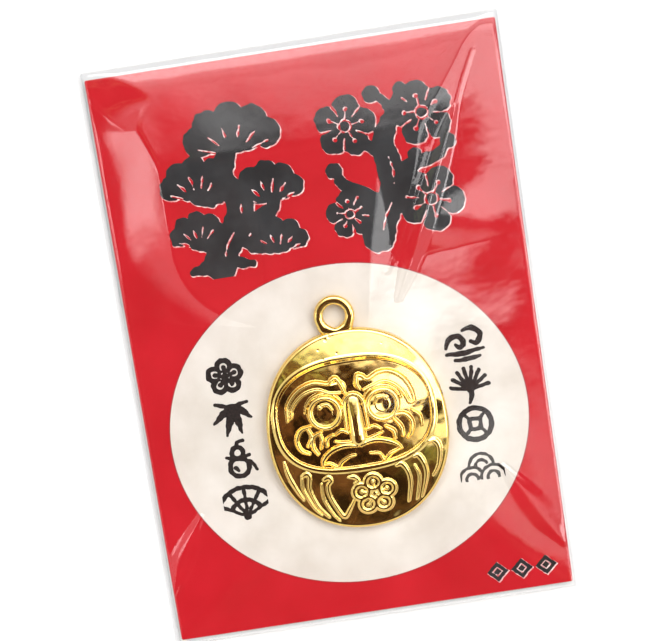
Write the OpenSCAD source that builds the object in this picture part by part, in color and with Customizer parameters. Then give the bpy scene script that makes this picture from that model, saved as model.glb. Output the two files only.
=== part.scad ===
// A relief charm stuck to a printed card, in a clear film sleeve that lies on its back.
// X runs across the card, Y up the card to the sleeve's mouth, and Z out of the card's face.
// The origin is on the surface the sleeve lies on, under the middle of the closed sleeve.

/* [Card] */
// Width of the backing card
card_w = 52; // [44:1:70]
// Height of the backing card
card_h = 74; // [62:1:100]
// Thickness of the backing card
card_t = 0.45; // [0.3:0.05:0.8]

/* [Sleeve] */
// Thickness of the clear film
film_t = 0.08; // [0.05:0.01:0.12]
// From the card's side edge to the sleeve's side edge
side_margin = 0.9; // [0.8:0.1:3]
// From the card's bottom edge to the sleeve's bottom fold
bottom_margin = 0.8; // [0.5:0.1:3]
// From the card's top edge to the fold at the mouth
mouth_margin = 1; // [0.8:0.1:3]
// Width of the weld along each side
weld_w = 0.6; // [0.3:0.1:0.6]
// Height of the weld's bead above the back panel
weld_t = 0.12; // [0.08:0.02:0.2]
// Length of the flap that folds behind the sleeve
flap_len = 30; // [20:1:40]
// From the flap's side edge to the sleeve's side edge
flap_inset = 0.5; // [0.2:0.1:3]

/* [Adhesive] */
// Width of the adhesive strip along the flap
strip_w = 10; // [6:1:14]
// Thickness of the adhesive strip
strip_t = 0.05; // [0.03:0.01:0.1]
// From the strip's ends and outer edge to the flap's edges
strip_inset = 2; // [1:0.5:4]
// Diameter of the glue dot under the charm
dot_d = 12; // [8:1:16]
// Thickness of the glue dot
dot_t = 0.2; // [0.1:0.05:0.5]

/* [Charm] */
// Width of the charm
charm_w = 23.4; // [20:0.2:26]
// Height of the charm without its ring
charm_h = 26.3; // [22:0.1:28]
// Thickness of the charm at its crown
charm_t = 3; // [2.4:0.1:4]
// Thickness of the charm at its top and bottom rim
rim_t = 1.2; // [0.9:0.1:1.6]
// Charm's centre, to the right of the card's centre line
charm_x = 1.2; // [-4:0.1:4]
// Charm's centre, above the card's bottom edge
charm_y = 24.9; // [18:0.1:30]

/* [Ring] */
// Outer diameter of the hanging ring
ring_d = 5.3; // [4.4:0.1:6]
// Diameter of the ring's hole
ring_hole_d = 2.8; // [2:0.1:3.4]
// Thickness of the ring
ring_t = 1.2; // [0.9:0.1:1.6]
// Ring's centre, to the left of the charm's centre
ring_x = 0.8; // [0:0.1:2]
// Ring's centre, above the charm's centre
ring_y = 15; // [14:0.1:16]

/* [Face] */
// Width of the face panel
face_w = 20.2; // [17:0.2:20.4]
// Height of the face panel
face_h = 14; // [12:0.2:14]
// Face panel's centre, above the charm's centre
face_y = 2.2; // [1.8:0.1:2.6]
// Depth of the face panel below the hood
face_depth = 0.45; // [0.3:0.05:0.6]
// Eye's centre, from the middle of the face
eye_x = 3.7; // [3.2:0.1:4]
// Eye's centre, above the charm's centre
eye_y = 3; // [2.5:0.1:4]
// Radius of the raised ring round each eye
eye_r = 1.8; // [1.4:0.1:2]

/* [Belly] */
// Height of the raised folds and crest on the belly
relief_h = 0.2; // [0.1:0.05:0.3]
// Width of a raised fold
crease_w = 0.5; // [0.3:0.05:0.7]
// Radius of the blossom crest, to the middle of its petals
crest_r = 1.5; // [1:0.1:1.8]

/* [Hidden] */

// Clearances
tack_gap = 0.01;
card_gap = 0.05;
headroom = 0.12;
fold_gap = 0.03;
ring_gap = 0.02;

// Heights, from the lowest layer up
back_z = film_t + strip_t + tack_gap;
inside_z = back_z + film_t;
card_z = inside_z + card_gap;
card_top = card_z + card_t;
charm_z = card_top + dot_t;

// Sleeve's outline
sleeve_w = card_w + 2 * side_margin;
sleeve_h = card_h + bottom_margin + mouth_margin;
sleeve_bottom = -sleeve_h / 2;
sleeve_top = sleeve_h / 2;
inner_w = sleeve_w - 2 * weld_w - 2 * film_t;
inner_h = sleeve_h - 2 * film_t;
flap_w = sleeve_w - 2 * flap_inset;

// The flap turns about the middle of its fold, behind the mouth
fold_r = inside_z / 2;
fold_y = sleeve_top - fold_r;
panel_top = fold_y - fold_r - fold_gap;

// Charm
card_bottom = sleeve_bottom + bottom_margin;
charm_at = [charm_x, card_bottom + charm_y, charm_z];
dome_rise = charm_t - rim_t;
dome_r = (pow(charm_h / 2, 2) + pow(dome_rise, 2)) / (2 * dome_rise);
outline_power = 2.15;
face_power = 2.5;
crown_drop = 0.05;
chin_line_w = 0.65;
lid_w = 0.45;
pupil_r = 0.8;
chin_top = face_y + 1.5;
crest_y = -8.2;
petals = 5;

// Raised folds on one half of the belly: [distance from the middle, height, half the arc]
creases = [[9.1, -5.6, 14], [6.8, -7.6, 18], [4.4, -8.1, 16]];
crease_r = 9;

// Cheek curls on one half of the face: [distance from the middle, height, turn]
curls = [[7.2, -0.4, 100], [5, -0.8, 80], [2.9, -0.5, 60]];

function oval_point(a, b, power, t) = [
    a * sign(cos(t)) * pow(abs(cos(t)), 2 / power),
    b * sign(sin(t)) * pow(abs(sin(t)), 2 / power)
];

function arc_points(r, from, to, steps) = [
    for (i = [0:steps]) r * [cos(from + (to - from) * i / steps), sin(from + (to - from) * i / steps)]
];

function dome_height(r) = charm_t - dome_r + sqrt(pow(dome_r, 2) - pow(r, 2));

module oval(w, h, power, count = 96) {
    polygon([for (i = [0:count - 1]) oval_point(w / 2, h / 2, power, 360 * i / count)]);
}

// Flat band along an arc about the origin
module band(r, w, from, to, steps = 20) {
    polygon(concat(arc_points(r + w / 2, from, to, steps), arc_points(r - w / 2, to, from, steps)));
}

module both_sides() {
    children();
    mirror([1, 0]) children();
}

module charm_outline(grow = 0) {
    oval(charm_w + 2 * grow, charm_h + 2 * grow, outline_power);
}

module face_outline(grow = 0) {
    translate([0, face_y]) oval(face_w + 2 * grow, face_h + 2 * grow, face_power);
}

// Everything under the charm's domed front, lowered by a drop
module under_dome(drop = 0) {
    translate([0, 0, charm_t - dome_r - drop]) sphere(r = dome_r, $fn = 200);
}

module domed(drop) {
    intersection() {
        linear_extrude(charm_t + relief_h) children();
        under_dome(drop);
    }
}

module round_plate(r) {
    oval(2 * r, 2 * r, 2, 40);
}

module eye() {
    difference() {
        round_plate(eye_r + lid_w / 2);
        round_plate(eye_r - lid_w / 2);
    }
    round_plate(pupil_r);
}

module brow() {
    band(4.3, 1, 62, 172);
}

module face_features() {
    both_sides() translate([-eye_x, eye_y]) eye();
    both_sides() translate([-eye_x, eye_y]) brow();
    translate([0, 1.6]) oval(1.7, 5.8, 4, 40);
    both_sides() for (c = curls) translate([-c[0], c[1]]) rotate(c[2]) band(0.8, 0.4, 0, 150, 12);
    both_sides() translate([-1.2, -6.6]) band(4.9, 0.6, 82, 138);
    translate([0, -7.4]) band(4.3, 0.4, 48, 132);
}

module chin_line() {
    intersection() {
        difference() {
            face_outline(chin_line_w);
            face_outline();
        }
        translate([-charm_w, chin_top - charm_h]) square([2 * charm_w, charm_h]);
    }
}

module belly_creases() {
    both_sides() for (c = creases) {
        translate([crease_r - c[0], c[1]]) band(crease_r, crease_w, 180 - c[2], 180 + c[2]);
    }
}

module crest() {
    translate([0, crest_y]) {
        circle(r = 0.5, $fn = 32);
        for (i = [0:petals - 1]) rotate(90 + 360 * i / petals) translate([crest_r, 0]) circle(r = 0.8, $fn = 32);
    }
}

module face_pocket() {
    difference() {
        linear_extrude(charm_t + 1) face_outline();
        under_dome(face_depth);
    }
}

module ring_seat() {
    translate([-ring_x, ring_y, -1]) cylinder(d = ring_d + 2 * ring_gap, h = charm_t + 2, $fn = 64);
}

module charm_casting() {
    color("gold") translate(charm_at) {
        difference() {
            domed(0) charm_outline();
            face_pocket();
            ring_seat();
        }
        domed(crown_drop) face_features();
        domed(-relief_h) chin_line();
        domed(-relief_h) belly_creases();
        domed(-relief_h) crest();
    }
}

// Wire ring with rounded edges, whose hole keeps a straight wall in the middle
module hanging_ring() {
    edge_r = 0.3;
    hole_r = ring_hole_d / 2;
    width = (ring_d - ring_hole_d) / 2;
    color("goldenrod") translate(charm_at + [-ring_x, ring_y, 0]) rotate_extrude($fn = 64) {
        translate([hole_r, edge_r]) square([width, ring_t - 2 * edge_r]);
        translate([hole_r + edge_r, 0]) square([width - 2 * edge_r, ring_t]);
        for (x = [edge_r, width - edge_r], y = [edge_r, ring_t - edge_r]) {
            translate([hole_r + x, y]) circle(r = edge_r, $fn = 32);
        }
    }
}

module glue_dot() {
    color("wheat") translate([charm_at[0], charm_at[1], card_top]) cylinder(d = dot_d, h = dot_t, $fn = 64);
}

module backing_card() {
    color("crimson") translate([-card_w / 2, card_bottom, card_z]) cube([card_w, card_h, card_t]);
}

// The space that the taut front film spans, from the card's edges up to the charm
module filled_sleeve(grow, floor_z) {
    lift = headroom + grow;
    hull() {
        translate([-inner_w / 2 - grow, -inner_h / 2 - grow, floor_z])
            cube([inner_w + 2 * grow, inner_h + 2 * grow, card_top + lift - floor_z]);
        for (s = [0.25:0.25:1]) {
            relief_top = min(charm_t, dome_height(s * charm_w / 2) + relief_h);
            translate([charm_at[0], charm_at[1], card_top])
                linear_extrude(dot_t + relief_top + lift)
                    oval(s * charm_w + 2 * lift, s * charm_h + 2 * lift, outline_power, 48);
        }
        translate([charm_at[0] - ring_x, charm_at[1] + ring_y, card_top])
            cylinder(d = ring_d + 2 * lift, h = dot_t + ring_t + lift, $fn = 32);
    }
}

module sleeve_front() {
    color("lightcyan", 0.3) difference() {
        filled_sleeve(film_t, inside_z);
        filled_sleeve(0, inside_z - 1);
    }
}

module sleeve_back() {
    color("lightblue", 0.5) translate([-sleeve_w / 2, sleeve_bottom, back_z])
        cube([sleeve_w, panel_top - sleeve_bottom, film_t]);
}

module side_welds() {
    color("powderblue", 0.7) both_sides() translate([sleeve_w / 2 - weld_w, sleeve_bottom, inside_z])
        cube([weld_w, panel_top - sleeve_bottom, weld_t]);
}

module sleeve_flap() {
    color("paleturquoise", 0.6) {
        translate([-flap_w / 2, fold_y - flap_len, 0]) cube([flap_w, flap_len, film_t]);
        translate([-flap_w / 2, fold_y, fold_r]) rotate([0, 90, 0]) cylinder(r = fold_r, h = flap_w, $fn = 32);
    }
}

module adhesive_strip() {
    color("lightyellow") translate([-flap_w / 2 + strip_inset, fold_y - flap_len + strip_inset, film_t])
        cube([flap_w - 2 * strip_inset, strip_w, strip_t]);
}

charm_casting();
hanging_ring();
glue_dot();
backing_card();
sleeve_front();
sleeve_back();
side_welds();
sleeve_flap();
adhesive_strip();
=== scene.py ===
"""A gold relief charm glued to a printed card in a clear film sleeve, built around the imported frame."""

import math

import bpy
import numpy as np
from mathutils import Matrix, Vector


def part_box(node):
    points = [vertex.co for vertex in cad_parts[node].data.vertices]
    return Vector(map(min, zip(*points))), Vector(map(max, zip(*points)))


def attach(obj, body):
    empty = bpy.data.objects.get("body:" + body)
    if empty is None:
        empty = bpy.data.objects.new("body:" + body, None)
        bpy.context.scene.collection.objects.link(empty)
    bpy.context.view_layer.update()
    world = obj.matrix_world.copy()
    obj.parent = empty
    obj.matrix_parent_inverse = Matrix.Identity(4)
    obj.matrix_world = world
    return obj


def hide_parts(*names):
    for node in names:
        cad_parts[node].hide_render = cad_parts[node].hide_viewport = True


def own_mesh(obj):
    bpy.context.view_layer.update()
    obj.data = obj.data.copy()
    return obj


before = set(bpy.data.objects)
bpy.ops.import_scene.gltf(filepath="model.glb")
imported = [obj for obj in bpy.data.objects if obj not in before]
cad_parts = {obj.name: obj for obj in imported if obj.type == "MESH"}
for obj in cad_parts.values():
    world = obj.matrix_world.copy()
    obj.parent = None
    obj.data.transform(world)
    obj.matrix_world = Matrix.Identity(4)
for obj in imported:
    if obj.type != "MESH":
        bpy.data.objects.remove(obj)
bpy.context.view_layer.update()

MM = 0.001
SEED = 7
TWO_PI = 2 * math.pi


def low(node):
    """Lowest corner of a CAD node, in mm."""
    return np.array(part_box(node)[0]) / MM


def high(node):
    """Highest corner of a CAD node, in mm."""
    return np.array(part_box(node)[1]) / MM


CARD_LOW, CARD_HIGH = low("backing_card"), high("backing_card")
CARD_TOP = CARD_HIGH[2]
RING_LOW, RING_HIGH = low("hanging_ring"), high("hanging_ring")
CHARM_LOW, CHARM_HIGH = low("charm_casting"), high("charm_casting")
CHARM_W = CHARM_HIGH[0] - CHARM_LOW[0]
CHARM_H = 26.3
CHARM_T = 3.0
CHARM_X = (CHARM_LOW[0] + CHARM_HIGH[0]) / 2
CHARM_Y = CHARM_LOW[1] + CHARM_H / 2
CHARM_Z = CHARM_LOW[2]
FILM_HIGH = high("sleeve_front")
BACK_FILM_TOP = high("sleeve_back")[2]


# -------- meshes and fields


def put(name, data):
    """A new object in the scene."""
    made = bpy.data.objects.new(name, data)
    bpy.context.scene.collection.objects.link(made)
    return made


def mesh_object(name, points, faces, smooth=True):
    """An object in the scene from points in mm."""
    mesh = bpy.data.meshes.new(name)
    mesh.from_pydata((np.asarray(points, float) * MM).tolist(), [], faces)
    mesh.validate()
    mesh.polygons.foreach_set("use_smooth", [smooth] * len(mesh.polygons))
    return put(name, mesh)


def ring_faces(rings, count, closed=False):
    """Quads between neighbouring rings of points, and from the last ring to the first where closed."""
    faces = []
    for r in range(rings if closed else rings - 1):
        a, b = r * count, (r + 1) % rings * count
        for i in range(count):
            j = (i + 1) % count
            faces.append((a + i, b + i, b + j, a + j))
    return faces


def smooth_path(points, per_span=6):
    """A finer path through points, each with its half-width last."""
    pts = np.array(points, float)
    padded = np.vstack([2 * pts[0] - pts[1], pts, 2 * pts[-1] - pts[-2]])
    t = np.linspace(0, 1, per_span, endpoint=False)[:, None]
    spans = []
    for a, b, c, d in zip(padded, padded[1:], padded[2:], padded[3:]):
        bend = (2 * a - 5 * b + 4 * c - d) * t**2 + (3 * b - a - 3 * c + d) * t**3
        spans.append(0.5 * (2 * b + (c - a) * t + bend))
    path = np.vstack(spans + [pts[-1:]])
    path[:, 2] = np.maximum(path[:, 2], 0.02)
    return path


def stroke(x, y, points, relative=False):
    """How far inside a brush stroke each place is, in mm or as a share of the stroke's half-width."""
    path = smooth_path(points)
    field = np.full(np.shape(x), -9.0)
    reach = path[:, 2].max() + 0.5
    near = (x > path[:, 0].min() - reach) & (x < path[:, 0].max() + reach)
    near &= (y > path[:, 1].min() - reach) & (y < path[:, 1].max() + reach)
    px, py = x[near], y[near]
    best = np.full(px.shape, -9.0)
    for (ax, ay, aw), (bx, by, bw) in zip(path, path[1:]):
        dx, dy = bx - ax, by - ay
        t = np.clip(((px - ax) * dx + (py - ay) * dy) / (dx * dx + dy * dy + 1e-12), 0, 1)
        width = aw + t * (bw - aw)
        inside = width - np.hypot(px - ax - t * dx, py - ay - t * dy)
        best = np.maximum(best, inside / width if relative else inside)
    field[near] = best
    return field


def union(*fields):
    return np.maximum.reduce(fields)


def strokes(x, y, paths):
    """How far inside the nearest of several brush strokes each place is."""
    return union(*[stroke(x, y, path) for path in paths])


def petal_turns(start=90):
    """Five directions, evenly round, as cosines and sines."""
    return [(math.cos(a), math.sin(a)) for a in np.radians(start + 72 * np.arange(5))]


def step(edge0, edge1, value):
    t = np.clip((value - edge0) / (edge1 - edge0), 0, 1)
    return t * t * (3 - 2 * t)


def waves(x, y, size, seed, count=14):
    """Smooth irregular waviness between about -1 and 1, with features of about one size."""
    rng = np.random.default_rng(seed)
    total = np.zeros(np.shape(x))
    for _ in range(count):
        angle, phase = rng.uniform(0, TWO_PI, 2)
        pitch = TWO_PI / (size * rng.uniform(0.7, 1.6))
        total += np.sin(pitch * (x * math.cos(angle) + y * math.sin(angle)) + phase)
    return total / math.sqrt(count)


# -------- materials


def add(tree, kind, inputs=None, **settings):
    """A shader node, with its inputs set or linked."""
    made = tree.nodes.new("ShaderNode" + kind)
    for key, value in settings.items():
        setattr(made, key, value)
    for key, value in (inputs or {}).items():
        if isinstance(value, bpy.types.NodeSocket):
            tree.links.new(value, made.inputs[key])
        else:
            made.inputs[key].default_value = value
    return made


def combine(tree, operation, first, second):
    """The result of a math node on two values."""
    return add(tree, "Math", {0: first, 1: second}, operation=operation).outputs[0]


def start_material(name):
    """A new material's node tree and its object coordinates."""
    material = bpy.data.materials.new(name)
    material.use_nodes = True
    material.node_tree.nodes.clear()
    place = add(material.node_tree, "TexCoord").outputs["Object"]
    return material, material.node_tree, place


def close_material(tree, shader):
    add(tree, "OutputMaterial", {"Surface": shader})


def surface(material, color, roughness, normal, **more):
    """Ends a material with one principled shader, and returns it."""
    tree = material.node_tree
    inputs = {"Base Color": color, "Roughness": roughness, "Normal": normal, **more}
    close_material(tree, add(tree, "BsdfPrincipled", inputs).outputs["BSDF"])
    return material


def noise(tree, place, size_mm, detail=3.0, rough=0.5):
    """Procedural noise with features of a size in mm, from 0 to 1."""
    settings = {"Vector": place, "Scale": 1 / (size_mm * MM), "Detail": detail, "Roughness": rough}
    return add(tree, "TexNoise", settings).outputs["Fac"]


def ramp(tree, factor, low_value, high_value, low_at=0.0, high_at=1.0):
    """Maps a factor to a range of values."""
    inputs = {"Value": factor, "From Min": low_at, "From Max": high_at}
    inputs.update({"To Min": low_value, "To Max": high_value})
    return add(tree, "MapRange", inputs).outputs["Result"]


def patches(tree, place, size_mm, low_at, high_at, detail=3.0, rough=0.5):
    """Noise stretched so that it is 0 below one level and 1 above another."""
    return ramp(tree, noise(tree, place, size_mm, detail, rough), 0.0, 1.0, low_at, high_at)


def mix_color(tree, factor, first, second, blend="MIX"):
    made = tree.nodes.new("ShaderNodeMix")
    made.data_type = "RGBA"
    made.blend_type = blend
    for socket, value in zip((0, 6, 7), (factor, first, second)):
        if isinstance(value, bpy.types.NodeSocket):
            tree.links.new(value, made.inputs[socket])
        elif socket == 0:
            made.inputs[socket].default_value = value
        else:
            made.inputs[socket].default_value = (*value, 1.0)
    return made.outputs[2]


def bump(tree, height, depth_mm, strength=1.0):
    """A normal from a height field whose full range is a depth in mm."""
    inputs = {"Height": height, "Distance": depth_mm * MM, "Strength": strength}
    return add(tree, "Bump", inputs).outputs["Normal"]


GOLD_GRAIN = 0.0012


def gold_material():
    """Polished gold plate with fine wear; painted shade makes it darker and browner in the recesses and on
    its side and back.
    """
    material, tree, place = start_material("gold_plate_relief")
    painted_shade = add(tree, "Attribute", attribute_name="painted_shade").outputs["Fac"]
    bright = mix_color(tree, noise(tree, place, 2.5), (1, 0.71, 0.2), (1, 0.76, 0.27))
    # painted shade: the gold is mixed towards dark brown by the shade amount stored on the charm's points
    color = mix_color(tree, ramp(tree, painted_shade, 0, 0.5), bright, (0.66, 0.38, 0.12))
    roughness = ramp(tree, noise(tree, place, 0.35, 4), 0.025, 0.07, 0.3, 0.7)
    swell = bump(tree, noise(tree, place, 1.1, 1), 0.01)
    grain = {"Height": noise(tree, place, 0.12), "Distance": GOLD_GRAIN * MM, "Normal": swell}
    normal = add(tree, "Bump", grain).outputs["Normal"]
    return surface(material, color, roughness, normal, Metallic=1.0)


def card_material():
    """Smooth red print on the front, pale board on the edges and the back."""
    material, tree, place = start_material("printed_board")
    face = add(tree, "SeparateXYZ", {"Vector": add(tree, "NewGeometry").outputs["Normal"]}).outputs["Z"]
    front = ramp(tree, face, 0, 1, 0.45, 0.75)
    cloudy = patches(tree, place, 9, 0.3, 0.7, 4)
    red = mix_color(tree, cloudy, (0.455, 0.007, 0.013), (0.53, 0.011, 0.02))
    speck = noise(tree, place, 0.22, 2)
    red = mix_color(tree, ramp(tree, speck, 0, 0.35, 0.55, 0.8), red, (0.36, 0.006, 0.011))
    fibre_place = add(tree, "Mapping", {"Vector": place, "Scale": (1, 0.25, 1)}).outputs["Vector"]
    fibre = noise(tree, fibre_place, 0.3, 5, 0.65)
    board = mix_color(tree, fibre, (0.62, 0.57, 0.5), (0.86, 0.83, 0.77))
    color = mix_color(tree, front, board, red)
    roughness = ramp(tree, front, 0.8, 0.42)
    gloss = ramp(tree, front, 0.5, 0.2)
    normal = bump(tree, fibre, 0.012, 0.5)
    return surface(material, color, roughness, normal, **{"Specular IOR Level": gloss})


def pearl_material():
    """Pale satin print with faint pearly clouds."""
    material, tree, place = start_material("pale_satin_print")
    clouds = patches(tree, place, 7, 0.32, 0.68, 5, 0.6)
    color = mix_color(tree, clouds, (0.64, 0.59, 0.525), (0.765, 0.72, 0.665))
    grain = noise(tree, place, 0.25)
    color = mix_color(tree, ramp(tree, grain, 0, 0.12), color, (0.48, 0.38, 0.36))
    roughness = ramp(tree, clouds, 0.34, 0.5)
    return surface(material, color, roughness, bump(tree, grain, 0.004))


def foil_material():
    """Dark stamped foil with a soft change of tone and a fine pebbled gloss."""
    material, tree, place = start_material("dark_stamped_foil")
    tone = patches(tree, place, 5, 0.3, 0.7)
    color = mix_color(tree, tone, (0.012, 0.013, 0.015), (0.042, 0.044, 0.048))
    roughness = ramp(tree, noise(tree, place, 0.5), 0.28, 0.45)
    normal = bump(tree, noise(tree, place, 0.18), 0.004)
    return surface(material, color, roughness, normal, Metallic=0.25)


def ink_material():
    """Dark brown printing ink, thinner in places."""
    material, tree, place = start_material("dark_brown_ink")
    thin = patches(tree, place, 0.35, 0.35, 0.75, 4, 0.7)
    color = mix_color(tree, thin, (0.007, 0.005, 0.005), (0.034, 0.022, 0.02))
    normal = bump(tree, noise(tree, place, 0.15, 2), 0.003)
    roughness = ramp(tree, thin, 0.45, 0.6)
    return surface(material, color, roughness, normal, **{"Specular IOR Level": 0.25})


def keyline_material():
    """Dark red ink of the line round the pale oval."""
    material, tree, place = start_material("dark_red_ink")
    wear = noise(tree, place, 0.6, 4)
    color = mix_color(tree, wear, (0.2, 0.004, 0.008), (0.42, 0.02, 0.03))
    return surface(material, color, 0.45, bump(tree, wear, 0.003))


def silver_material():
    """Pale metallic edge that shows beside the stamped shapes."""
    material, tree, place = start_material("pale_foil_edge")
    broken = patches(tree, place, 0.5, 0.35, 0.65, 4)
    color = mix_color(tree, broken, (0.62, 0.12, 0.13), (0.9, 0.8, 0.78))
    return surface(material, color, 0.35, bump(tree, broken, 0.004))


def film_material(name, size_mm, depth_mm, tint, gloss=0.05, ior=1.49):
    """Clear film: see-through, with a reflection that grows at a glancing angle, alike on both faces."""
    material, tree, place = start_material(name)
    normal = bump(tree, noise(tree, place, size_mm, 3, 0.45), depth_mm)
    clear = add(tree, "BsdfTransparent", {"Color": (*tint, 1)}).outputs["BSDF"]
    scuffs = ramp(tree, noise(tree, place, 0.9, 5, 0.7), gloss * 0.7, gloss * 2.2, 0.35, 0.75)
    shine = add(tree, "BsdfAnisotropic", {"Roughness": scuffs, "Normal": normal}).outputs["BSDF"]
    behind = add(tree, "NewGeometry").outputs["Backfacing"]
    amount = add(tree, "Fresnel", {"IOR": ramp(tree, behind, ior, 1 / ior), "Normal": normal}).outputs["Fac"]
    touching = add(tree, "Attribute", attribute_name="touching").outputs["Fac"]
    amount = combine(tree, "MULTIPLY", amount, ramp(tree, touching, 1, 0.2))
    close_material(tree, add(tree, "MixShader", {0: amount, 1: clear, 2: shine}).outputs["Shader"])
    return material


def glue_material():
    """Soft amber glue with small bubbles."""
    material, tree, place = start_material("amber_glue")
    bubbles = add(tree, "TexVoronoi", {"Vector": place, "Scale": 1 / (0.6 * MM)}).outputs["Distance"]
    color = mix_color(tree, bubbles, (0.93, 0.9, 0.8), (0.8, 0.72, 0.52))
    normal = bump(tree, bubbles, 0.03)
    return surface(material, color, 0.25, normal, **{"Transmission Weight": 0.4})


def floor_material():
    """Plain pale tabletop with a faint grain."""
    material, tree, place = start_material("pale_tabletop")
    grain = noise(tree, place, 2, 4)
    color = mix_color(tree, grain, (0.765, 0.765, 0.765), (0.79, 0.79, 0.787))
    return surface(material, color, 0.7, bump(tree, grain, 0.01))


def dress(piece, material, body, slot, *nodes):
    """Gives a piece its material and its body, and hides the CAD nodes that it stands for; the slot argument
    is not used.
    """
    piece.data.materials.clear()
    piece.data.materials.append(material)
    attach(piece, body)
    if nodes:
        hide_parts(*nodes)


# -------- the charm's relief

HOOD_DEPTH = 0.45
WINDOW = {"x": -0.2, "y": 2.6, "a": 10.1, "b": 7.2, "top_power": 2.35, "low_power": 2.75}
RELIEF_DROP = 0.2
WALL_LOW, WALL_HIGH = 0.3, 0.7
LEDGE, FAINT_LEDGE = 0.14, 0.05
CHIN_W, FAINT_W = 0.36, 0.25
# The last is the height above the face window's floor over which the painted shade fades out
FOLD_RISE, CREST_RISE, PIT_DEPTH, SHADE_RISE = 0.2, 0.22, 0.07, 0.1
# Where the relief fades in: by the height up the face, or by the distance inside the window's outline
WALL_FADE, CHIN_FADE, FOLD_TOP = (3, 8), (4.6, 2.2), (-2, -2.6)
FACE_FADE, FOLD_FADE = (0.15, 0.6), (0, -0.4)
# Slow and fine unevenness of the plated surface: depth, size
UNEVEN = ((0.01, 4.0), (0.003, 1.5))
DOME_RISE = 1.8
DOME_R = ((CHARM_H / 2) ** 2 + DOME_RISE**2) / (2 * DOME_RISE)
OUTLINE_POWER = 2.15
RIM_R = 0.55

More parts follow.
